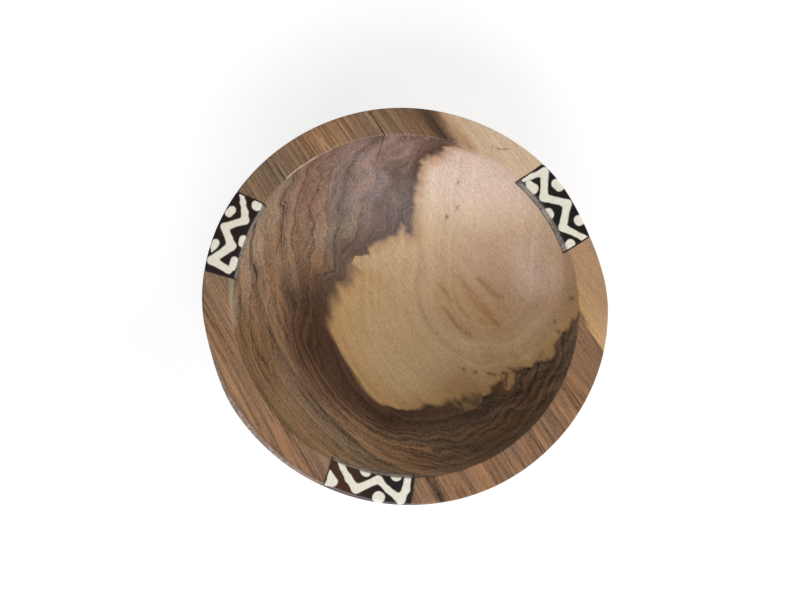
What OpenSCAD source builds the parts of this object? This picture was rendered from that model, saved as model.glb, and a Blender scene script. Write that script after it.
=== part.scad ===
// Hand-carved oval bowl of two-tone wood, with three bone tiles glued into notches
// cut across its flat rim and sanded flush with the wood inside and outside.
// Millimetres. The origin is the centre of the foot, and +Z points up out of the bowl.

/* [Bowl] */
// Outside length over the rim, along the long axis of the oval
bowl_length = 154.5; // [130:0.5:180]
// Outside width over the rim, square to the long axis
bowl_width = 149.5; // [126:0.5:176]
// Direction of the long axis, counted from +X towards +Y
long_axis_angle = 163; // [0:1:179]
// Height from the foot to the top of the rim
bowl_height = 50; // [40:1:65]
// Length of the flat foot, along the long axis
foot_length = 62; // [45:1:80]
// Width of the flat top of the rim
rim_w = 10.5; // [8:0.5:14]
// Thickness of the wood under the lowest point of the hollow
floor_t = 10; // [6:0.5:14]
// Height of the centre of the hollow's curve above the rim, which leans its wall outwards
hollow_rise = 6.5; // [2:0.5:14]
// Width of the sanded arris round the outer edge of the rim
arris = 1.5; // [0.4:0.1:2]

/* [Bone tiles] */
// Thickness of a tile, from the top of the rim down
tile_t = 4.5; // [3:0.1:7]
// Length of the left tile, along the middle of the rim
left_length = 30.5; // [24:0.5:40]
// Place of the left tile round the rim, counted from +X towards +Y
left_angle = 158.5; // [140:0.5:175]
// Angle by which the left tile's clockwise end splays outwards
left_splay_cw = 1; // [0:0.5:10]
// Angle by which the left tile's other end splays outwards
left_splay_ccw = 5.5; // [0:0.5:10]
// Length of the right tile, along the middle of the rim
right_length = 32; // [24:0.5:40]
// Place of the right tile round the rim
right_angle = 33.5; // [15:0.5:50]
// Angle by which the right tile's clockwise end splays outwards
right_splay_cw = 1.5; // [0:0.5:10]
// Angle by which the right tile's other end splays outwards
right_splay_ccw = 0.5; // [0:0.5:10]
// Length of the front tile, along the middle of the rim
front_length = 32.5; // [24:0.5:40]
// Place of the front tile round the rim
front_angle = 258; // [240:0.5:275]
// Angle by which the front tile's clockwise end splays outwards
front_splay_cw = 6.5; // [0:0.5:10]
// Angle by which the front tile's other end splays outwards
front_splay_ccw = 3.5; // [0:0.5:10]

/* [Glue] */
// Thickness of the glue under a tile and at both its ends
glue_t = 0.6; // [0.3:0.1:1]

/* [Hidden] */
$fn = 180;

// How far a cutting shape runs past the wood that it cuts
cut_past = 6;
// Distance from the bowl's axis that lies outside the wood all round
clear_reach = max(bowl_length, bowl_width) / 2 + cut_past;

// The outside is an ellipsoid that is widest at the rim and as wide as the foot at the bottom
outside_drop = bowl_height / sqrt(1 - pow(foot_length / bowl_length, 2));

// The hollow is an ellipsoid whose centre lies above the rim
hollow_drop = bowl_height + hollow_rise - floor_t;
hollow_swell = 1 / sqrt(1 - pow(hollow_rise / hollow_drop, 2));
mouth_length = bowl_length - 2 * rim_w;
mouth_width = bowl_width - 2 * rim_w;

// A notch starts in the open hollow, half-way out to the mouth, and ends outside the bowl
notch_start = min(mouth_length, mouth_width) / 4;
notch_end = clear_reach;
// Mean distance of the middle of the rim from the bowl's axis, where tiles are measured
rim_middle = (bowl_length + bowl_width) / 4 - rim_w / 2;

// Each tile's place, length and two splays
left_tile = [left_angle, left_length, left_splay_cw, left_splay_ccw];
right_tile = [right_angle, right_length, right_splay_cw, right_splay_ccw];
front_tile = [front_angle, front_length, front_splay_cw, front_splay_ccw];

// Half the length of a splayed slot at one end, at a distance out from the bowl's axis
function slot_reach(length, splay, out) = length / 2 + (out - rim_middle) * tan(splay);

// An ellipsoid on the bowl's own axes, with its centre at height z
module bowl_ellipsoid(length, width, drop, z) {
    rotate(long_axis_angle)
        translate([0, 0, z])
            scale([length / 2, width / 2, drop])
                sphere(r = 1);
}

// The level slice of space between the foot and the top of the rim
module foot_to_rim() {
    translate([-clear_reach, -clear_reach, 0])
        cube([2 * clear_reach, 2 * clear_reach, bowl_height]);
}

// An oval cone at 45 degrees that takes the sharp edge off the outside of the rim
module arris_cone() {
    top = bowl_length / 2 - arris;
    rotate(long_axis_angle)
        scale([1, bowl_width / bowl_length, 1])
            cylinder(h = bowl_height, r1 = top + bowl_height, r2 = top);
}

// The carved bowl before its notches are cut
module carved_blank() {
    difference() {
        intersection() {
            bowl_ellipsoid(bowl_length, bowl_width, outside_drop, bowl_height);
            foot_to_rim();
            arris_cone();
        }
        bowl_ellipsoid(
            mouth_length * hollow_swell,
            mouth_width * hollow_swell,
            hollow_drop,
            bowl_height + hollow_rise
        );
    }
}

// A slot across the rim, open at the top, the inside and the outside.
// It is one tile's own shape, made larger below and at both ends by the spare.
module rim_slot(tile, spare) {
    length = tile[1] + 2 * spare;
    depth = tile_t + spare;
    rotate(tile[0])
        translate([0, 0, bowl_height - depth])
            linear_extrude(depth + cut_past)
                polygon([
                    [notch_start, -slot_reach(length, tile[2], notch_start)],
                    [notch_end, -slot_reach(length, tile[2], notch_end)],
                    [notch_end, slot_reach(length, tile[3], notch_end)],
                    [notch_start, slot_reach(length, tile[3], notch_start)]
                ]);
}

// A tile, sanded to the curves of the bowl at its inner and outer faces
module bone_tile(tile) {
    color("ivory")
        intersection() {
            carved_blank();
            rim_slot(tile, 0);
        }
}

// The glue that is left between a tile and its notch: a bed and two ends
module glue_bed(tile) {
    color([0.12, 0.1, 0.09])
        difference() {
            intersection() {
                carved_blank();
                rim_slot(tile, glue_t);
            }
            rim_slot(tile, 0);
        }
}

module bowl_body() {
    color("peru")
        difference() {
            carved_blank();
            for (tile = [left_tile, right_tile, front_tile])
                rim_slot(tile, glue_t);
        }
}

module bone_inlay_left() {
    bone_tile(left_tile);
}

module bone_inlay_right() {
    bone_tile(right_tile);
}

module bone_inlay_front() {
    bone_tile(front_tile);
}

module glue_bed_left() {
    glue_bed(left_tile);
}

module glue_bed_right() {
    glue_bed(right_tile);
}

module glue_bed_front() {
    glue_bed(front_tile);
}

bowl_body();
bone_inlay_left();
bone_inlay_right();
bone_inlay_front();
glue_bed_left();
glue_bed_right();
glue_bed_front();
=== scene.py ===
import math

import bpy
from mathutils import Matrix, Vector, noise


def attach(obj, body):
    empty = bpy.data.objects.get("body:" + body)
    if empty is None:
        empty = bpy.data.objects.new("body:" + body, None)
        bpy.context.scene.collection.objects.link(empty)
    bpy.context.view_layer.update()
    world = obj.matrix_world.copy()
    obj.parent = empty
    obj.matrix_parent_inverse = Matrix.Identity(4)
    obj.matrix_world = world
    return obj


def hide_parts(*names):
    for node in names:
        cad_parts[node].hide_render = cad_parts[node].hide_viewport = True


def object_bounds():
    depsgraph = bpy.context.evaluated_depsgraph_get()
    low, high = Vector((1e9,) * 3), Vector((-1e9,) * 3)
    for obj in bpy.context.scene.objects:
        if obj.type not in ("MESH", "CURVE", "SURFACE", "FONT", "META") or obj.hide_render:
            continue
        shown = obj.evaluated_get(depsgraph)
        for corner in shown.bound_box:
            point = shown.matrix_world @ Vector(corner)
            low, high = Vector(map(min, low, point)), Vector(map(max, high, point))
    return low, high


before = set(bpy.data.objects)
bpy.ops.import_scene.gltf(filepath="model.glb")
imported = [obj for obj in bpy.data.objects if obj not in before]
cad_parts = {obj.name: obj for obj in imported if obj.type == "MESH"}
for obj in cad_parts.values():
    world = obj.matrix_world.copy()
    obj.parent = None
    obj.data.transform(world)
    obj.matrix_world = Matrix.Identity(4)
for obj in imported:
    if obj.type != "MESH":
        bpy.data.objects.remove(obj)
cad_low, cad_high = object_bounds()

# Camera. The bowl is seen from above through a short telephoto lens, from a point a few
# degrees off upright, so that its far walls show a little more than its near ones.
MM = 0.001
rim_top = cad_high.z
camera_bearing = 205
camera_lift = 83
camera_reach = 710 * MM
camera_aim = Vector((-2.8 * MM, 2.0 * MM, rim_top))


def way_out(bearing, lift):
    """Direction from the bowl's middle at a bearing and a lift above level, both in degrees."""
    turn = math.radians(bearing)
    rise = math.radians(lift)
    return Vector((math.cos(rise) * math.cos(turn), math.cos(rise) * math.sin(turn), math.sin(rise)))


towards_camera = way_out(camera_bearing, camera_lift)
picture_right = Vector((0, 1, 0)).cross(towards_camera).normalized()
picture_up = towards_camera.cross(picture_right)
camera_lens = bpy.data.cameras.new("camera")
camera_lens.lens = 85
camera_lens.sensor_width = 36
camera = bpy.data.objects.new("camera", camera_lens)
camera_turn = Matrix((picture_right, picture_up, towards_camera)).transposed().to_4x4()
camera.matrix_world = Matrix.Translation(camera_aim + towards_camera * camera_reach) @ camera_turn
bpy.context.scene.collection.objects.link(camera)
bpy.context.scene.camera = camera

# The bowl. One block of two-tone wood, hollowed with an adze, scraped and sanded: dark heartwood
# wraps round a pale patch of sapwood. Its rim is left flat, and three notches are sawn across it.
long_axis = math.radians(163)
axis_cos = math.cos(long_axis) ** 2
axis_sin = math.sin(long_axis) ** 2
half_length = math.sqrt(
    (cad_high.x**2 * axis_cos - cad_high.y**2 * axis_sin) / (axis_cos - axis_sin)
)
half_width = math.sqrt(
    (cad_high.y**2 * axis_cos - cad_high.x**2 * axis_sin) / (axis_cos - axis_sin)
)
half_mouth_length = 65.8 * MM
half_mouth_width = 64.3 * MM
mouth_axis = math.radians(153)
half_foot = 31 * MM
foot_share = half_foot / half_length
floor_thickness = 10 * MM
hollow_rise = 6.5 * MM
hollow_drop = rim_top + hollow_rise - floor_thickness
hollow_swell = 1 / math.sqrt(1 - (hollow_rise / hollow_drop) ** 2)
outside_drop = rim_top / math.sqrt(1 - foot_share**2)

# Where the carver took the outside in from a true oval: (bearing, spread on each side, depth)
flats = [(22, 23, 1.25), (128, 42, 0.5), (194, 18, 0.8), (318, 30, 0.25)]

# The outer edge is worn round at the lower left, and the lip is scraped off beside the left tile:
# (rounding everywhere, further rounding there, bearing, spread on each side)
edge_wear = (0.6, 1.6, 222, 75)
lip_wear = (0.5, 1.3, 183, 13)


def oval_reach(bearing, half_long, half_short, axis):
    turn = bearing - axis
    return half_long * half_short / math.hypot(
        half_short * math.cos(turn), half_long * math.sin(turn)
    )


def hump(bearing, middle, spread):
    """1 at the middle bearing, in degrees, falling smoothly to 0 at the spread on both sides."""
    away = abs((math.degrees(bearing) - middle + 180) % 360 - 180)
    return math.cos(min(away / spread, 1) * math.pi / 2) ** 2


def rounding(bearing, everywhere, further, middle, spread):
    return (everywhere + further * hump(bearing, middle, spread)) * MM


def rounded(start, corner, end, steps):
    """Points along a worn edge, which bends from start to end inside the sharp corner."""
    for step in range(steps):
        share = (step + 0.5) / steps
        yield tuple(
            a * (1 - share) ** 2 + b * 2 * share * (1 - share) + c * share**2
            for a, b, c in zip(start, corner, end)
        )


def bowl_section(bearing, sink):
    """Outline of the wood at one bearing, as (reach, height), from the foot over the rim inwards."""
    outside = oval_reach(bearing, half_length, half_width, long_axis) - sink
    outside -= sum(depth * MM * hump(bearing, middle, spread) for middle, spread, depth in flats)
    mouth = oval_reach(bearing, half_mouth_length, half_mouth_width, mouth_axis) + sink
    top = rim_top - sink
    edge = rounding(bearing, *edge_wear)
    lip = rounding(bearing, *lip_wear)

    def outer_wall(lean):
        return outside * math.sin(lean), rim_top - outside_drop * math.cos(lean)

    def inner_wall(lean):
        height = rim_top + hollow_rise - hollow_drop * math.cos(lean)
        return mouth * hollow_swell * math.sin(lean), height

    foot_rings, outer_rings, edge_rings = 6, 44, 7
    rim_rings, lip_rings, inner_rings = 12, 5, 58
    foot_lean = math.acos(rim_top / outside_drop)
    edge_lean = math.acos((rim_top - top + edge) / outside_drop)
    lip_lean = math.acos((rim_top + hollow_rise - top + lip) / hollow_drop)
    outline = [(outside * foot_share * (i + 1) / foot_rings, 0.0) for i in range(foot_rings)]
    for i in range(1, outer_rings + 1):
        outline.append(outer_wall(foot_lean + (edge_lean - foot_lean) * i / outer_rings))
    outline.extend(rounded(outline[-1], (outside, top), (outside - edge, top), edge_rings))
    for i in range(rim_rings + 1):
        outline.append((outside - edge + (mouth + lip - outside + edge) * i / rim_rings, top))
    outline.extend(rounded(outline[-1], (mouth, top), inner_wall(lip_lean), lip_rings))
    for i in range(inner_rings):
        outline.append(inner_wall(lip_lean * (1 - i / inner_rings)))
    return outline


def carving_marks(spot):
    """Unevenness that the adze and the scraper left, between about -1 and 1."""
    adze_cut, scraper_cut, scraper_share = 24 * MM, 9 * MM, 0.35
    return noise.noise(spot / adze_cut) + scraper_share * noise.noise(spot / scraper_cut)


def new_solid(name, spots, faces):
    mesh = bpy.data.meshes.new(name)
    mesh.from_pydata(spots, [], faces)
    solid = bpy.data.objects.new(name, mesh)
    bpy.context.scene.collection.objects.link(solid)
    return solid


def carved_blank(name, sink=0.0):
    """The whole bowl before it is notched, with its surface let in by the sink."""
    turns = 480
    # The marks go in from the true shape and not out of it, and the foot is left flat
    highest_mark = 1.25
    flat_below = 0.1 * MM
    rim_marks, wall_marks, marks_fade = 0.04 * MM, 0.2 * MM, 8 * MM
    rings = []
    for i in range(turns):
        bearing = math.tau * i / turns
        outline = bowl_section(bearing, sink)
        placed = []
        for j, (reach, height) in enumerate(outline):
            before = outline[max(j - 1, 0)]
            after = outline[min(j + 1, len(outline) - 1)]
            out = Vector((after[1] - before[1], before[0] - after[0])).normalized()
            spot = Vector((reach * math.cos(bearing), reach * math.sin(bearing), height))
            wall = min((rim_top - height) / marks_fade, 1)
            scale = rim_marks + (wall_marks - rim_marks) * wall
            rise = (carving_marks(spot) - highest_mark) * scale if height > flat_below else 0.0
            reach += out.x * rise
            height += out.y * rise
            placed.append((reach * math.cos(bearing), reach * math.sin(bearing), height))
        rings.append(placed)
    count = len(rings[0])
    spots = [(0.0, 0.0, 0.0)]
    spots += [rings[i][j] for j in range(count) for i in range(turns)]
    spots.append((0.0, 0.0, sum(ring[-1][2] for ring in rings) / turns))
    faces = []
    for i in range(turns):
        after = (i + 1) % turns
        faces.append((0, 1 + after, 1 + i))
        for j in range(count - 1):
            low, high = 1 + j * turns, 1 + (j + 1) * turns
            faces.append((low + i, low + after, high + after, high + i))
        last = 1 + (count - 1) * turns
        faces.append((last + i, last + after, len(spots) - 1))
    return new_solid(name, spots, faces)


# Each notch's bearing, length along the rim, and how far its two ends splay outwards
notches = {
    "left": {"bearing": 158.5, "length": 30.5, "splays": (1, 5.5)},
    "right": {"bearing": 33.5, "length": 32, "splays": (1.5, 0.5)},
    "front": {"bearing": 258, "length": 32.5, "splays": (6.5, 3.5)},
}
tile_thickness = 4.5 * MM
glue_thickness = 0.6 * MM
rim_middle = 70.75 * MM
notch_waver = 0.2 * MM
cut_past = 5 * MM


def flat_prism(name, plan, low, high):
    """A closed upright solid on an outline drawn from above, counted anticlockwise."""
    count = len(plan)
    spots = [(x, y, low) for x, y in plan] + [(x, y, high) for x, y in plan]
    faces = [tuple(reversed(range(count))), tuple(range(count, 2 * count))]
    for i in range(count):
        after = (i + 1) % count
        faces.append((i, after, count + after, count + i))
    return new_solid(name, spots, faces)


def rim_slot(notch, spare, waver):
    """The space of one tile across the rim, with two hand-sawn ends, made larger by the spare."""
    start, end, steps = 40 * MM, 84 * MM, 60
    saw_stroke = 2.5 * MM
    end_apart = 7
    bearing = math.radians(notch["bearing"])
    sides = []
    for side, splay in zip((-1, 1), notch["splays"]):
        line = []
        for i in range(steps + 1):
            out = start + (end - start) * i / steps
            reach = notch["length"] * MM / 2 + (out - rim_middle) * math.tan(math.radians(splay))
            place = Vector((out / saw_stroke, side * end_apart + notch["bearing"], spare / MM))
            along = side * (reach + spare + waver * noise.noise(place))
            line.append((
                out * math.cos(bearing) - along * math.sin(bearing),
                out * math.sin(bearing) + along * math.cos(bearing),
            ))
        sides.append(line)
    plan = sides[0] + list(reversed(sides[1]))
    return flat_prism("slot", plan, rim_top - tile_thickness - spare, rim_top + cut_past)


# A drying crack runs across the rim along the grain and a little way down into the hollow
crack_path = [
    (-17.2, 77.0), (-14.3, 72.8), (-12.0, 69.8), (-10.1, 66.9), (-8.7, 64.6), (-8.9, 62.4)
]
crack_half_widths = [0.13, 0.13, 0.1, 0.13, 0.1, 0.02]
crack_depth = 1.6 * MM


def crack_blade():
    left, right = [], []
    for i, (spot, half) in enumerate(zip(crack_path, crack_half_widths)):
        before = Vector(crack_path[max(i - 1, 0)])
        after = Vector(crack_path[min(i + 1, len(crack_path) - 1)])
        way = (after - before).normalized()
        side = Vector((-way.y, way.x)) * half
        left.append(tuple((Vector(spot) + side) * MM))
        right.append(tuple((Vector(spot) - side) * MM))
    plan = right + list(reversed(left))
    return flat_prism("crack", plan, rim_top - crack_depth, rim_top + cut_past)


def cut(piece, tool, operation):
    """Cuts one solid with another, or keeps what they share, and puts the tool away."""
    step = piece.modifiers.new("cut", "BOOLEAN")
    step.object = tool
    step.operation = operation
    step.solver = "MANIFOLD"
    bpy.context.view_layer.update()
    shown = piece.evaluated_get(bpy.context.evaluated_depsgraph_get())
    piece.data = bpy.data.meshes.new_from_object(shown)
    piece.modifiers.clear()
    bpy.data.objects.remove(tool)


def dress(piece, finish, node):
    """Gives a finished piece its smooth faces, its material and its place on the frame."""
    crease = math.radians(38)
    piece.data.materials.clear()
    piece.data.materials.append(finish)
    piece.data.shade_smooth()
    piece.data.set_sharp_from_angle(angle=crease)
    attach(piece, "root")
    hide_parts(node)


class Reading:
    """A number that a finish works out at every spot of a surface."""

    def __init__(self, finish, socket):
        self.finish = finish
        self.socket = socket

    def __add__(self, other):
        return self.finish.work("ADD", self, other)

    def __sub__(self, other):
        return self.finish.work("SUBTRACT", self, other)

    def __rsub__(self, other):
        return self.finish.work("SUBTRACT", other, self)

    def __mul__(self, other):
        return self.finish.work("MULTIPLY", self, other)

    def __truediv__(self, other):
        return self.finish.work("DIVIDE", self, other)

    def __pow__(self, other):
        return self.finish.work("POWER", self, other)

    __radd__ = __add__
    __rmul__ = __mul__

    def least(self, other):
        return self.finish.work("MINIMUM", self, other)

    def soft_least(self, other, softness):
        return self.finish.work("SMOOTH_MIN", self, other, softness)

    def most(self, other):
        return self.finish.work("MAXIMUM", self, other)

    def ease(self, start, end):
        """0 up to the start and 1 from the end on, with a smooth step between them."""
        step = self.finish.node("ShaderNodeMapRange", interpolation_type="SMOOTHSTEP")
        for socket, value in zip(step.inputs, (self, start, end)):
            self.finish.feed(socket, value)
        return Reading(self.finish, step.outputs[0])

    def fade(self, start, end):
        """1 up to the start and 0 from the end on."""
        return 1 - self.ease(start, end)

    def near(self, value, start, end):
        """1 closer to the value than the start, and 0 further from it than the end."""
        return self.finish.work("ABSOLUTE", self - value).fade(start, end)

    def swing(self, amount):
        """How far a cloud's reading lies from its middle, times the amount."""
        return (self - 0.5) * amount


class Finish:
    """A new node material, with a short call for each kind of node that the pieces use."""

    def __init__(self, name):
        self.material = bpy.data.materials.new(name)
        self.material.use_nodes = True
        self.tree = self.material.node_tree
        self.tree.nodes.clear()
        spot = self.node("ShaderNodeTexCoord").outputs["Object"]
        scaled = self.node("ShaderNodeVectorMath", operation="SCALE")
        self.feed(scaled.inputs[0], spot)
        scaled.inputs["Scale"].default_value = 1 / MM
        self.spot = scaled.outputs[0]

    def node(self, kind, **settings):
        made = self.tree.nodes.new(kind)
        for setting, value in settings.items():
            setattr(made, setting, value)
        return made

    def feed(self, socket, value):
        if isinstance(value, Reading):
            value = value.socket
        if isinstance(value, bpy.types.NodeSocket):
            self.tree.links.new(value, socket)
        else:
            socket.default_value = value

    def work(self, operation, *values):
        made = self.node("ShaderNodeMath", operation=operation)
        for socket, value in zip(made.inputs, values):
            self.feed(socket, value)
        return Reading(self, made.outputs[0])

    def along(self, way):
        """How far a spot lies along a direction, in millimetres."""
        made = self.node("ShaderNodeVectorMath", operation="DOT_PRODUCT")
        self.feed(made.inputs[0], self.spot)
        made.inputs[1].default_value = way
        return Reading(self, made.outputs["Value"])

    def towards(self, bearing):
        """How far a spot lies towards a bearing in degrees, in millimetres."""
        return self.along(way_out(bearing, 0))

    def place(self, x, y, z=0.0):
        made = self.node("ShaderNodeCombineXYZ")
        for socket, value in zip(made.inputs, (x, y, z)):
            self.feed(socket, value)
        return made.outputs[0]

    def cloud(self, place, detail=2.0, rough=0.5):
        """Soft random patches about 1 unit across, as three readings between about 0 and 1.

        A place is given as readings over the size of the patches, in millimetres.
        """
        made = self.node("ShaderNodeTexNoise")
        self.feed(made.inputs["Vector"], place)
        made.inputs["Scale"].default_value = 1.0
        made.inputs["Detail"].default_value = detail
        made.inputs["Roughness"].default_value = rough
        split = self.node("ShaderNodeSeparateColor")
        self.feed(split.inputs[0], made.outputs["Color"])
        return [Reading(self, socket) for socket in split.outputs]

    def stroke(self, place, start, end):
        """Distance outside a tapered stroke, below 0 within it, from and to (x, y, half width)."""
        shortest = 0.001
        way = Vector((end[0] - start[0], end[1] - start[1], 0))
        gap = self.node("ShaderNodeVectorMath", operation="SUBTRACT")
        self.feed(gap.inputs[0], place)
        gap.inputs[1].default_value = (start[0], start[1], 0)
        share = self.node("ShaderNodeVectorMath", operation="DOT_PRODUCT")
        self.feed(share.inputs[0], gap.outputs[0])
        share.inputs[1].default_value = way / max(way.length_squared, shortest)
        within = self.node("ShaderNodeClamp")
        self.feed(within.inputs[0], share.outputs["Value"])
        nearest = self.node("ShaderNodeVectorMath", operation="SCALE")
        nearest.inputs[0].default_value = way
        self.feed(nearest.inputs["Scale"], within.outputs[0])
        away = self.node("ShaderNodeVectorMath", operation="DISTANCE")
        self.feed(away.inputs[0], gap.outputs[0])
        self.feed(away.inputs[1], nearest.outputs[0])
        width = Reading(self, within.outputs[0]) * (end[2] - start[2]) + start[2]
        return Reading(self, away.outputs["Value"]) - width

    def line(self, place, points, softness=0.01):
        """Distance outside a bent line of strokes."""
        total = None
        for start, end in zip(points[:-1], points[1:]):
            gap = self.stroke(place, start, end)
            total = gap if total is None else total.soft_least(gap, softness)
        return total

    def lines(self, place, *lines):
        """Distance outside the nearest of several bent lines."""
        total = None
        for points in lines:
            gap = self.line(place, points)
            total = gap if total is None else total.least(gap)
        return total

    def blend(self, share, first, second):
        made = self.node("ShaderNodeMix", data_type="RGBA")
        self.feed(made.inputs["Factor"], share)
        self.feed(made.inputs[6], first)
        self.feed(made.inputs[7], second)
        return made.outputs[2]

    def coats(self, colour, *coats):
        """A colour with others laid over it in turn, each as (share, colour)."""
        for share, coat in coats:
            colour = self.blend(share, colour, coat)
        return colour

    def brighten(self, colour, amount):
        made = self.node("ShaderNodeVectorMath", operation="SCALE")
        self.feed(made.inputs[0], colour)
        self.feed(made.inputs["Scale"], amount)
        return made.outputs[0]

    def surface(self, colour, roughness, relief, depth, **sockets):
        """The shader of the finish, with its relief in millimetres."""
        bump = self.node("ShaderNodeBump")
        bump.inputs["Distance"].default_value = depth * MM
        self.feed(bump.inputs["Height"], relief)
        shader = self.node("ShaderNodeBsdfPrincipled")
        self.feed(shader.inputs["Base Color"], colour)
        self.feed(shader.inputs["Roughness"], roughness)
        self.feed(shader.inputs["Normal"], bump.outputs[0])
        for name, value in sockets.items():
            shader.inputs[name.replace("_", " ")].default_value = value
        output = self.node("ShaderNodeOutputMaterial")
        self.feed(output.inputs["Surface"], shader.outputs[0])
        return self.material


def paint(red, green, blue):
    """A colour as a painter reads it off a chart, from 0 to 255, as the light that it gives back."""
    levels = []
    for value in (red, green, blue):
        share = value / 255
        levels.append(share / 12.92 if share <= 0.04045 else ((share + 0.055) / 1.055) ** 2.4)
    return (*levels, 1.0)


def two_tone_wood():
    """Heartwood and sapwood of one log, worked out from where each spot lies in the tree."""
    wood = Finish("two_tone_wood")
    x = wood.along((1, 0, 0))
    y = wood.along((0, 1, 0))
    height = wood.along((0, 0, 1))

    # The hollow, and the hollow with the rim, told from the outside half-way through the wall
    shell_reach, shell_middle, shell_drop = 71, 53, 48
    shell = (x * x + y * y) / shell_reach**2 + ((height - shell_middle) / shell_drop) ** 2
    within = shell.fade(0.96, 1.04)
    hollow = within * height.fade(49.3, 49.9)
    inner = within.most(height.ease(46, 47.5))

    # The fibres run from the upper left to the lower right, and rise a little on the way
    fibre_bearing = 310
    fibre_rise = 0.129
    wander_across, wander_lift = 12, 7
    along = wood.towards(fibre_bearing)
    across = wood.towards(fibre_bearing + 90)
    lift = height - along * fibre_rise
    wander = wood.cloud(wood.place(across / 9, lift / 9, along / 160), 3, 0.45)

    # Growth layers lie level on one side of the bowl and sweep up on the other, as parabolas
    layer_height = 15.84
    layer_bow = 0.0011
    sweep = 0.0121
    sweep_middle = -1.0
    sweep_spread = 8
    level = lift + wander[1].swing(wander_lift) - layer_height - along * along * layer_bow
    side = (level.most(0) / sweep) ** 0.5 - (across + wander[0].swing(wander_across)) + sweep_middle
    layer = level.soft_least(side / sweep_spread, 1.0)

    # How deep a spot lies in the heartwood, with a tongue at the top, and a shoulder and a pale bay
    # at the right, which don't reach through to the outside
    jag_width = 3.5
    jag = wood.cloud(wood.place(across / 3, lift / 3, along / 20), 2, 0.45)
    plan = wood.place(x + jag[0].swing(jag_width), y + jag[1].swing(jag_width))
    tongue = wood.lines(
        plan,
        [(11.5, 62.5, 4.3), (3.5, 61, 5.0), (1.2, 50, 5.6), (2.6, 37.5, 3.4)],
        [(2.6, 37.5, 3.4), (4.5, 31.4, 1.8), (6.0, 29.4, 0.9)],
        [(-1, 43, 7.0), (-2.4, 31.5, 2.8), (-3.8, 30.6, 2.5), (-11.5, 27.4, 2.6)],
    )
    shoulder = wood.line(plan, [(36, -37, 4.0), (46, -28, 5.2)])
    bay = wood.line(plan, [(42, -24.5, 2.0), (42.2, -30.4, 1.6)])
    far_out = (1 - inner) * 50
    bottom = along.ease(24, 37) * (2.3 - across.ease(-10, -4) * 1.5) - along.ease(42, 50) * 1.2
    flank = side + along.ease(-30, 10) * 3.2 + across.ease(28, 36) * 1.2
    depth = (level + 0.95 + bottom).least(flank)
    depth = depth.most(0 - tongue.least(shoulder) - far_out).least(bay + far_out)

    # The two woods meet in a frayed line, sharp along the fibres and softer across their ends
    frayed = wood.cloud(wood.place(across / 0.7, lift / 0.7, along / 6), 2)
    end_grain = along.ease(-14, -30) + along.ease(32, 46)
    ragged = (frayed[0].swing(0.7) + jag[2].swing(2.5)) * (0.15 + end_grain)
    softness = 0.4 + along.ease(-2, -18) * 1.3 + along.ease(30, 44) * 0.6
    heart = ((depth + ragged) / softness).ease(-1, 1)

    # Colours of the heartwood: brown bands, here redder and there greyer, mauve under a painted cool
    # sheen in the upper wall, and patches of single tones, one of them a painted highlight, each as
    # (from, to, fade, share, tone)
    bands = wood.cloud(wood.place(layer / 2.2, along / 80, across / 70), 2)
    # The mauve is partly the wood's own tone and partly a painted cool sheen on the upper wall
    mauve_and_sheen = y.ease(14, 44) * x.ease(-58, -22) * hollow * (0.5 + bands[0].ease(0.35, 0.6) * 0.5)
    heart_tone = wood.coats(
        paint(149, 112, 80),
        (bands[1].ease(0.34, 0.62), paint(127, 104, 82)),
        (bands[2].ease(0.5, 0.75) * 0.7, paint(145, 103, 71)),
        (mauve_and_sheen * 0.85, paint(131, 108, 101)),
    )
    for start, end, fade, share, tone in [
        ((-37, 52, 3), (-36, 42, 3), 5, 0.4, paint(138, 98, 82)),
        ((-21, 53, 2), (-20, 42, 2), 5, 0.4, paint(126, 112, 100)),
        ((-7, 52, 1), (-10, 44, 1), 5, 0.4, paint(124, 110, 116)),
        # A painted highlight: a soft pale sheen on the upper left wall
        ((-29, 28, 2), (-19, 31, 2), 6, 0.7, paint(154, 137, 110)),
        ((-4, 46, 2), (-3, 40, 2), 4, 0.4, paint(158, 138, 132)),
        ((-18, 58, 2), (-15, 55, 2), 4, 0.4, paint(166, 140, 134)),
        ((-53, -12, 2), (-51, -32, 2), 6, 0.6, paint(92, 62, 36)),
    ]:
        patch = wood.stroke(plan, start, end).fade(-2, fade)
        heart_tone = wood.blend(patch * share * hollow, heart_tone, tone)

    # The wall is scoured pale below the lip and ochre at the left, the rim is warm, and the wood is
    # smoked dark towards the sapwood, with a darker fringe along it. Painted shade darkens the lower
    # right wall of the hollow
    ochre = wood.towards(205).ease(44, 56) * hollow
    scoured = height.ease(38, 49) * (1 - ochre) * y.fade(10, 45) * hollow
    olive = wood.towards(235).ease(42, 58) * hollow
    beside_tile = wood.towards(158.3).ease(53, 62) * hollow
    rim_warmth = (1 - hollow) * (0.1 + along.ease(-10, 40) * 0.3)
    smoke_and_shade = (level + along.ease(0, 25) * 5).fade(4.5, 14) * (1 - y.ease(2, 26) * 0.75)
    smoke_and_shade = smoke_and_shade * (1 - along.ease(30, 46) * 0.55) * hollow
    thinned = wood.stroke(plan, (-31, -29, 3), (-17, -40, 3)).fade(-3, 10)
    smoke_and_shade = smoke_and_shade * (1 - thinned * 0.2)
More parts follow.
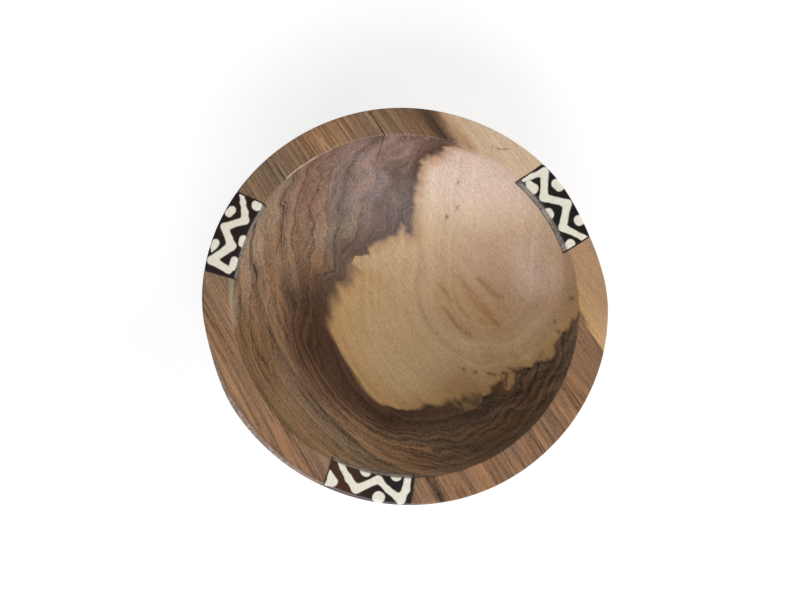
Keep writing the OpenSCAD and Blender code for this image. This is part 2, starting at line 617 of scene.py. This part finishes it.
    # Painted shade: the lower right wall of the hollow is darkened as if it lay in shade
    smoke_and_shade = smoke_and_shade.most(along.ease(30, 56) * hollow * 0.25)
    scorch = heart * side.fade(1, 15) * (1 - hollow)
    upper = y.ease(15, 28)
    fringe = heart * (depth / (1 + upper * 1.3)).fade(0.4, 4.2)
    fringe = fringe * (0.55 + upper * 0.35) * (0.5 + hollow * 0.5)
    heart_tone = wood.coats(
        heart_tone,
        (scoured * 0.7, paint(152, 136, 119)),
        (ochre * 0.5, paint(122, 87, 55)),
        (olive * 0.32, paint(142, 120, 92)),
        (beside_tile * 0.5, paint(166, 143, 120)),
        (rim_warmth, paint(130, 88, 55)),
        (smoke_and_shade * 0.95, paint(73, 45, 22)),
        (scorch * 0.35, paint(92, 62, 44)),
        (fringe, paint(82, 57, 46)),
    )

    # Colours of the sapwood: pale, brown at the right, pink at the top with a painted pale sheen over
    # it on the upper wall and a painted sheen patch on the right wall, and golden towards the
    # heartwood, with a golden patch in the middle and a few thin brown flames along the fibres
    brown = x.ease(-5, 40) * y.fade(22, 46) * y.ease(-28, 4)
    # The pink is the wood's own tone on the rim, and on the upper wall a painted pale sheen as well
    pink_and_sheen = (y + x * 0.2).ease(31, 58) * (0.4 + hollow * 0.6)
    # A painted sheen: a pale rosy patch on the right wall
    rosy_sheen = wood.stroke(plan, (50, 22, 2), (53, 12, 2)).fade(-2, 11)
    halo = (0 - depth).fade(0.5, 7)
    stain = (0 - depth).fade(0.8, 4.5)
    golden = wood.line(plan, [(22, 6, 5), (36, -3, 6)]).fade(-5, 9)
    flames = wood.lines(
        plan,
        [(24.7, 13.2, 0.1), (29.4, 6.8, 0.5), (34.7, 0.4, 0.5), (39.2, -6, 0.1)],
        [(18.6, 0.5, 0.1), (23.6, -5.1, 0.4), (29.3, -10.7, 0.1)],
        [(32.3, 12.3, 0.1), (36.1, 8.7, 0.6), (40.6, 5, 0.2)],
        [(17.2, 9.5, 0.1), (22.4, 3.4, 0.2)],
    ).fade(-0.4, 1.8)
    flicker = 0.25 + frayed[1].ease(0.4, 0.6) * 0.45
    sap_tone = wood.coats(
        paint(198, 166, 123),
        (along.ease(-10, 34), paint(214, 183, 137)),
        (bands[2].ease(0.45, 0.7) * 0.4, paint(193, 155, 106)),
        (brown * 0.9, paint(177, 143, 113)),
        (brown * (1 - hollow) * 0.5, paint(155, 115, 75)),
        (pink_and_sheen, paint(216, 191, 174)),
        (rosy_sheen * hollow * 0.6, paint(208, 183, 164)),
        (halo * (0.65 - y.ease(10, 30) * 0.4), paint(186, 142, 90)),
        (stain * upper * 0.45, paint(166, 116, 74)),
        (golden * 0.42 * inner, paint(184, 140, 84)),
        (flames * flicker * inner, paint(148, 98, 46)),
    )

    # Fine lines: the growth layers, coarse and fine, which turn into the swept ones in the upper
    # half, with two dark seams among them, and the streaks, fibres and pores
    streak = across + along * (0.12 - across * 0.0012)
    rings = wood.cloud(wood.place(layer / 1.1, along / 300, across / 300), 5, 0.66)
    ring_lines = rings[1].near(0.5, 0, 0.045)
    level_rings = wood.cloud(wood.place(level / 0.75, along / 250, across / 250), 1, 0.5)
    side_rings = wood.cloud(wood.place(side / 1.1, along / 250, level / 60), 2, 0.6)
    turned = y.ease(-5, 25)
    fine_rings = level_rings[0] * (1 - turned) + side_rings[0] * turned
    seams = layer.near(9.6, 0.06, 0.3) + layer.near(4.5, 0.05, 0.25) * 0.5
    streaks = wood.cloud(wood.place(streak / 4.5, lift / 25, along / 240), 6, 0.7)
    streak_lines = streaks[1].near(0.5, 0, 0.025) * rings[2].ease(0.4, 0.6)
    fibres = wood.cloud(wood.place(streak / 0.5, lift / 3, along / 60), 2, 0.6)
    grain = wood.cloud(wood.place(streak / 0.28, lift / 0.9, along / 1.2), 1)
    pores = grain[1].ease(0.55, 0.7)

    # In the sapwood the layers show as arcs round a middle at the right, straight above it
    arc_middle_x, arc_middle_y = 36, 8
    bend_x = x - arc_middle_x
    bend_y = (y - arc_middle_y).least(0)
    arc = (bend_x * bend_x + bend_y * bend_y) ** 0.5 + wander[2].swing(5)
    arcs = wood.cloud(wood.place(arc / 2.6, along / 200, across / 200), 5, 0.62)
    arc_lines = arcs[1].near(0.5, 0, 0.03) * arcs[2].ease(0.4, 0.6)
    heart_lines = (
        1
        + rings[0].swing(2.0) * hollow
        + streaks[0].swing(2.6 - hollow * 2.1)
        + fibres[0].swing(2.1 - hollow * 1.3)
        + grain[0].swing(0.8 + hollow * 0.9)
        + fine_rings.swing(2.0 - turned * 0.6 - mauve_and_sheen * 0.5) * hollow
        - pores * 0.3
        - (seams + ring_lines * hollow) * (0.4 - mauve_and_sheen * 0.25)
        - streak_lines * (0.3 - hollow * 0.22)
    )
    sap_lines = (
        1
        + (arcs[0].swing(0.62) - arc_lines * 0.07) * arc.ease(3, 10) * hollow
        + rings[0].swing(0.15)
        + streaks[0].swing(0.9 - hollow * 0.7)
        + fibres[0].swing(0.7 - hollow * 0.4)
        + grain[0].swing(0.8)
        - pores * 0.05
    )
    colour = wood.blend(
        heart, wood.brighten(sap_tone, sap_lines), wood.brighten(heart_tone, heart_lines)
    )

    # The outer edge is worn grey at the lower left, behind a dark line. The lip is scraped pale beside
    # the left tile, and a pale highlight is painted along the lip at the upper left and along a scratch
    # that crosses the rim
    edge_reach, edge_width = 74.3, 1.4
    here = wood.place(x, y)
    shake = wood.cloud(wood.place(x / 1.4, y / 1.4, height / 1.4), 2)
    from_middle = (x * x + y * y * 1.05) ** 0.5 + wander[0].swing(4)
    lower_left = wood.towards(229.5).ease(52, 68) * height.ease(44, 48) * inner
    edge_line = from_middle.near(edge_reach, 0, 0.8) * lower_left
    worn = from_middle.ease(edge_reach, edge_reach + edge_width) * lower_left
    scraped = wood.line(here, [(-66.2, 9.5, 0.7), (-65.8, 2, 0.9), (-64.6, -8, 0.4)])
    # A painted highlight along the lip at the upper left, and along a scratch across the rim
    painted_lip_highlight = wood.lines(
        here,
        [(-45.6, 47.4, 0.1), (-41.4, 51, 0.2), (-35.2, 55, 0.25), (-29, 58.1, 0.1)],
        [(-33.8, 63.9, 0.02), (-31.8, 61, 0.1), (-28.7, 58.3, 0.05)],
    )
    gleam = (0.3 + shake[2].ease(0.4, 0.55) * 0.4) * height.ease(48, 49)
    colour = wood.coats(
        colour,
        (edge_line * 0.5, paint(84, 58, 44)),
        (worn * (0.5 + fibres[1] * 0.5), paint(120, 104, 96)),
        (worn * shake[2].ease(0.5, 0.62) * 0.6, paint(176, 162, 152)),
        (scraped.fade(-0.2, 0.5) * 0.6 * inner, paint(158, 146, 122)),
        (painted_lip_highlight.fade(-0.1, 0.35) * gleam * inner, paint(206, 182, 160)),
    )

    # Marks: the crack's dark lips, torn grain under the lip, a bruise on the rim, thin dark checks
    # in the upper left wall, and runs and specks of gum
    mark_waver = 1.2
    marked = wood.place(x + shake[0].swing(mark_waver), y + shake[1].swing(mark_waver))
    broken = shake[2].ease(0.4, 0.6)
    crack = wood.line(
        marked, [(-14.3, 72.8, 0.1), (-8.7, 64.6, 0.1), (-9.0, 61.3, 0.15), (-10.1, 56.5, 0.05)]
    )
    torn = wood.line(marked, [(-3, 63.6, 0.3), (3.2, 64.2, 0.5), (9, 63.4, 0.5), (18, 61.9, 0.7)])
    bruise = wood.line(marked, [(32.3, 60.2, 0.1), (35.8, 59.5, 0.25), (40.1, 59.9, 0.05)])
    checks = wood.lines(
        marked,
        [(-45.7, 47, 0.05), (-45.4, 38.8, 0.15), (-46.6, 27.7, 0.15), (-49.1, 18.7, 0.05)],
        [(-27.6, 52, 0.05), (-28.8, 40, 0.15), (-32.7, 35.5, 0.15), (-36, 24.5, 0.05)],
    )
    dark_marks = crack.fade(-0.1, 0.5) * 0.6
    dark_marks = dark_marks.most(torn.fade(-0.2, 0.9) * broken * 0.6)
    dark_marks = dark_marks.most(bruise.fade(-0.1, 0.4) * shake[2].ease(0.42, 0.56) * 0.6)
    dark_marks = dark_marks.most(checks.fade(-0.1, 0.5) * (0.2 + broken * 0.3))
    gum_runs = [
        [(35.4, -25.1, 0.35), (37.7, -25.5, 0.2)],
        [(40.6, -25.1, 0.4), (42.2, -25.4, 0.5), (41.5, -27.6, 0.35), (41.6, -30.6, 0.15)],
        [(36.3, -30.4, 0.2), (38.9, -30.0, 0.3), (40.2, -32.1, 0.35), (42.2, -32.6, 0.3), (44.6, -30, 0.2)],
    ]
    specks = [
        (19.0, 36.5, 0.5), (22.9, 40.1, 0.2), (22.3, 49.2, 0.2), (63.9, 3.5, 0.3), (59.0, -5.0, 0.2),
        (60.1, -8.9, 0.2), (26.4, -23.4, 0.3), (30.3, -24.4, 0.3),
    ]
    speck_tail, tail_tip = 0.7, 0.1
    for speck_x, speck_y, radius in specks:
        gum_runs.append([(speck_x, speck_y, radius), (speck_x, speck_y - speck_tail, tail_tip)])
    gum = wood.lines(marked, *gum_runs)
    colour = wood.coats(
        colour,
        (dark_marks * inner, paint(52, 38, 32)),
        (gum.fade(0, 1.2) * 0.35 * inner, paint(150, 101, 54)),
        (gum.fade(-0.3, 0.35) * 0.65 * inner, paint(84, 52, 33)),
    )

    relief = rings[0] * 0.4 + fibres[0] * 0.6 - pores * 0.3 - ring_lines * 0.2
    roughness = fibres[0].swing(0.35) + 0.46
    return wood.surface(colour, roughness, relief, 0.1, Specular_IOR_Level=0.45)


bowl = carved_blank("bowl")
for notch in notches.values():
    cut(bowl, rim_slot(notch, glue_thickness, notch_waver), "DIFFERENCE")
cut(bowl, crack_blade(), "DIFFERENCE")
dress(bowl, two_tone_wood(), "bowl_body")

# Glue. A dark glue beds each tile in its notch: it was spread on the floor of the notch and
# squeezed up at both ends, then scraped off, so it lies a hair lower than the wood.
glue_sink = 0.12 * MM
tile_waver = 0.1 * MM


def dark_glue():
    glue = Finish("dark_glue")
    lumps = glue.cloud(glue.spot, 3)
    colour = glue.blend(lumps[0], paint(22, 17, 14), paint(52, 40, 31))
    return glue.surface(colour, lumps[1] * 0.4 + 0.35, lumps[0], 0.15)


glue_finish = dark_glue()
for name, notch in notches.items():
    glue = carved_blank(f"glue_line_{name}", glue_sink)
    cut(glue, rim_slot(notch, glue_thickness, notch_waver), "INTERSECT")
    cut(glue, rim_slot(notch, 0.0, tile_waver), "DIFFERENCE")
    dress(glue, glue_finish, f"glue_bed_{name}")

# Bone tiles. Three slips of cattle bone, sawn and polished, then dyed like batik: wax lines and
# dots kept the dye off. Each is glued into its notch and sanded flush with the rim.
# A stroke's points are (distance from the bowl's middle, distance along the rim, half its width).
tile_sink = 0.02 * MM
wax_lines = {
    "left": [
        (73.4, -16.2, 0.9), (71.5, -12.8, 1.1), (69.6, -9.9, 1.3), (68.3, -6.9, 1.5), (74.4, -1.8, 1.5),
        (69.4, 3.9, 1.7), (74.3, 11.6, 1.6), (67.0, 12.7, 1.5),
    ],
    "right": [
        (63.8, 15.6, 1.2), (66.6, 15.0, 1.1), (72.1, 13.7, 1.6), (66.4, 5.7, 1.6), (72.7, -1.2, 1.6),
        (66.2, -7.8, 1.6), (70.5, -15.1, 1.2), (72.3, -16.4, 0.5),
    ],
    "front": [
        (62.1, -13.9, 0.3), (64.1, -11.4, 1.1), (67.9, -8.2, 1.4), (71.2, -4.5, 1.7), (66.0, 2.9, 1.5),
        (69.0, 7.1, 1.2), (71.6, 12.6, 1.8), (67.5, 13.8, 1.5), (63.6, 13.6, 1.5),
    ],
}
wax_dots = {
    "left": [
        [(74.2, -8.6, 1.5), (74.8, -7.2, 1.5)],
        [(66.2, -13.8, 1.9), (66.2, -13.7, 1.9)],
        [(66.3, 0.0, 1.5), (66.0, 1.4, 1.5)],
        [(75.3, 5.0, 1.4), (75.6, 6.5, 1.3), (75.4, 8.4, 0.3)],
        [(66.4, 8.4, 1.3), (66.2, 11.3, 1.3)],
    ],
    "right": [
        [(64.6, 10.9, 2.2), (64.5, 13.4, 1.2)],
        [(73.4, 7.3, 1.9), (73.7, 5.8, 1.8)],
        [(64.5, -0.2, 1.9), (64.3, -0.9, 1.9), (63.3, -3.1, 0.5)],
        [(73.0, -9.0, 2.0), (73.0, -9.1, 2.0)],
        [(65.1, -14.7, 1.9), (62.8, -14.6, 0.9)],
    ],
    "front": [
        [(70.2, -13.9, 2.0), (66.9, -15.7, 0.7)],
        [(70.4, -14.2, 1.6), (71.7, -16.3, 0.7)],
        [(63.8, -2.4, 2.1), (63.9, -2.3, 2.1)],
        [(63.1, 9.1, 2.2), (63.1, 9.2, 2.2)],
        [(72.6, 4.3, 2.3), (72.6, 4.4, 2.3)],
    ],
}


def dyed_bone(name, notch):
    bone = Finish(f"dyed_bone_{name}")
    bearing = notch["bearing"]
    out = bone.towards(bearing)
    along = bone.towards(bearing + 90)
    height = bone.along((0, 0, 1))

    # Bare bone shows where the wax was, with a little waver of the hand
    hand_waver = 0.6
    shake = bone.cloud(bone.place(out / 2.4, along / 2.4, bearing), 3, 0.55)
    spot = bone.place(out + shake[0].swing(hand_waver), along + shake[1].swing(hand_waver))
    wax = bone.line(spot, wax_lines[name], 1.5) + 0.2
    for dot in wax_dots[name]:
        wax = wax.soft_least(bone.line(spot, dot, 0.3), 0.25)
    bare = wax.fade(-0.25, 0.3)

    # The dye seeped a little under the wax, and runs brown where it was thin
    smudge = bone.cloud(bone.place(out / 1.6, along / 1.1, bearing + 5), 3, 0.6)
    seep = smudge[1].ease(0.58, 0.75) * wax.ease(-1.6, -0.1) * 0.45
    thin_dye = {"left": 0.12, "right": 0.0, "front": along.ease(6, -12) * 0.8}[name]
    cream = bone.coats(
        paint(224, 217, 198),
        (smudge[0].ease(0.3, 0.7), paint(235, 229, 213)),
        (seep, paint(140, 134, 124)),
    )
    dye = bone.coats(
        paint(25, 21, 20),
        (thin_dye, paint(74, 43, 22)),
        (smudge[2].ease(0.45, 0.8) * 0.3, paint(60, 50, 43)),
    )

    # Below the sanded top, the inner faces keep a grey film of glue, and the outer ones are soaked
    # with dye
    grit = bone.cloud(bone.place(out / 0.6, along / 0.6, height / 0.6), 2)
    grey_film = bone.blend(grit[0].ease(0.38, 0.62), paint(74, 68, 69), paint(176, 171, 169))
    soaked = bone.blend(grit[1].ease(0.45, 0.7), paint(36, 28, 24), paint(98, 84, 70))
    side_faces = bone.blend(out.ease(66, 72), grey_film, soaked)
    canals = bone.cloud(bone.place(out / 0.25, along / 2.2, height / 0.25), 1)
    colour = bone.coats(
        dye,
        (bare, cream),
        (canals[0].ease(0.62, 0.75) * 0.12, paint(110, 98, 82)),
        (height.fade(48.6, 49.6) * 0.85, side_faces),
    )
    return bone.surface(colour, smudge[2] * 0.2 + 0.24, canals[0] * 0.4 + bare * 0.6, 0.03)


for name, notch in notches.items():
    tile = carved_blank(f"bone_tile_{name}", tile_sink)
    cut(tile, rim_slot(notch, 0.0, tile_waver), "INTERSECT")
    dress(tile, dyed_bone(name, notch), f"bone_inlay_{name}")

# Table and light. A white sheet lies under the bowl. A wide soft lamp stands at the near side, with
# a small window to the right of it, a white card at the far right throws light back into the
# hollow, and a white room fills the shade.
sheet_reach = 3.0
sheet_level = -0.2 * MM
sheet_grey = (0.4, 0.4, 0.4, 1)
sheet_glow = 0.71
corners = [(-1, -1), (1, -1), (1, 1), (-1, 1)]
sheet_spots = [(x * sheet_reach, y * sheet_reach, sheet_level) for x, y in corners]
table_sheet = new_solid("table_sheet", sheet_spots, [(0, 1, 2, 3)])


def seen_directly(tree):
    """1 for what the camera sees, straight or mirrored, and 0 for light on its way to the bowl."""
    path = tree.nodes.new("ShaderNodeLightPath")
    seen = path.outputs["Is Camera Ray"]
    for name in ("Is Glossy Ray", "Is Transmission Ray"):
        either = tree.nodes.new("ShaderNodeMath")
        either.operation = "MAXIMUM"
        tree.links.new(seen, either.inputs[0])
        tree.links.new(path.outputs[name], either.inputs[1])
        seen = either.outputs[0]
    return seen


sheet_white = bpy.data.materials.new("white_sheet")
sheet_white.use_nodes = True
tree = sheet_white.node_tree
tree.nodes.clear()
paper = tree.nodes.new("ShaderNodeBsdfDiffuse")
paper.inputs["Color"].default_value = sheet_grey
glow = tree.nodes.new("ShaderNodeEmission")
lit = tree.nodes.new("ShaderNodeMath")
lit.operation = "MULTIPLY"
lit.inputs[1].default_value = sheet_glow
tree.links.new(seen_directly(tree), lit.inputs[0])
tree.links.new(lit.outputs[0], glow.inputs["Strength"])
both = tree.nodes.new("ShaderNodeAddShader")
tree.links.new(paper.outputs[0], both.inputs[0])
tree.links.new(glow.outputs[0], both.inputs[1])
sheet_output = tree.nodes.new("ShaderNodeOutputMaterial")
tree.links.new(both.outputs[0], sheet_output.inputs["Surface"])
table_sheet.data.materials.append(sheet_white)

# The room is white to look at up to the top of its walls, and gives only a little light
room_light = 0.08
wall_fade = {"From Min": 0.25, "From Max": 0.55, "To Min": 1.0, "To Max": 0.0}
room = bpy.data.worlds.new("white_room")
room.use_nodes = True
tree = room.node_tree
tree.nodes.clear()
sky_way = tree.nodes.new("ShaderNodeSeparateXYZ")
tree.links.new(tree.nodes.new("ShaderNodeTexCoord").outputs["Generated"], sky_way.inputs[0])
white_wall = tree.nodes.new("ShaderNodeMapRange")
white_wall.interpolation_type = "SMOOTHSTEP"
for socket, value in wall_fade.items():
    white_wall.inputs[socket].default_value = value
tree.links.new(sky_way.outputs["Z"], white_wall.inputs["Value"])
seen_wall = tree.nodes.new("ShaderNodeMath")
seen_wall.operation = "MULTIPLY"
tree.links.new(seen_directly(tree), seen_wall.inputs[0])
tree.links.new(white_wall.outputs[0], seen_wall.inputs[1])
strength = tree.nodes.new("ShaderNodeMapRange")
strength.inputs["To Min"].default_value = room_light
strength.inputs["To Max"].default_value = 1.0
tree.links.new(seen_wall.outputs[0], strength.inputs["Value"])
walls = tree.nodes.new("ShaderNodeBackground")
tree.links.new(strength.outputs[0], walls.inputs["Strength"])
room_output = tree.nodes.new("ShaderNodeOutputWorld")
tree.links.new(walls.outputs[0], room_output.inputs["Surface"])
bpy.context.scene.world = room


def soft_lamp(name, bearing, lift, width, tall, power, colour):
    """A white cloth panel with a lamp behind it, which faces the bowl."""
    lamp_reach = 1.1
    panel = bpy.data.lights.new(name, "AREA")
    panel.shape = "RECTANGLE"
    panel.size = width
    panel.size_y = tall
    panel.energy = power
    panel.color = colour
    lamp = bpy.data.objects.new(name, panel)
    way = way_out(bearing, lift)
    lamp.location = Vector((0, 0, rim_top)) + way * lamp_reach
    lamp.rotation_euler = way.to_track_quat("Z", "Y").to_euler()
    bpy.context.scene.collection.objects.link(lamp)
    return lamp


soft_lamp("near_lamp", bearing=258, lift=40, width=1.2, tall=0.8, power=14.9, colour=(0.97, 0.98, 1.0))
soft_lamp("window", bearing=335, lift=45, width=0.5, tall=0.5, power=1.2, colour=(0.95, 0.97, 1.0))
card = soft_lamp("white_card", bearing=33, lift=22, width=0.7, tall=0.5, power=9.0, colour=(1, 1, 1))
card.visible_glossy = False

bpy.context.scene.view_settings.view_transform = "Standard"
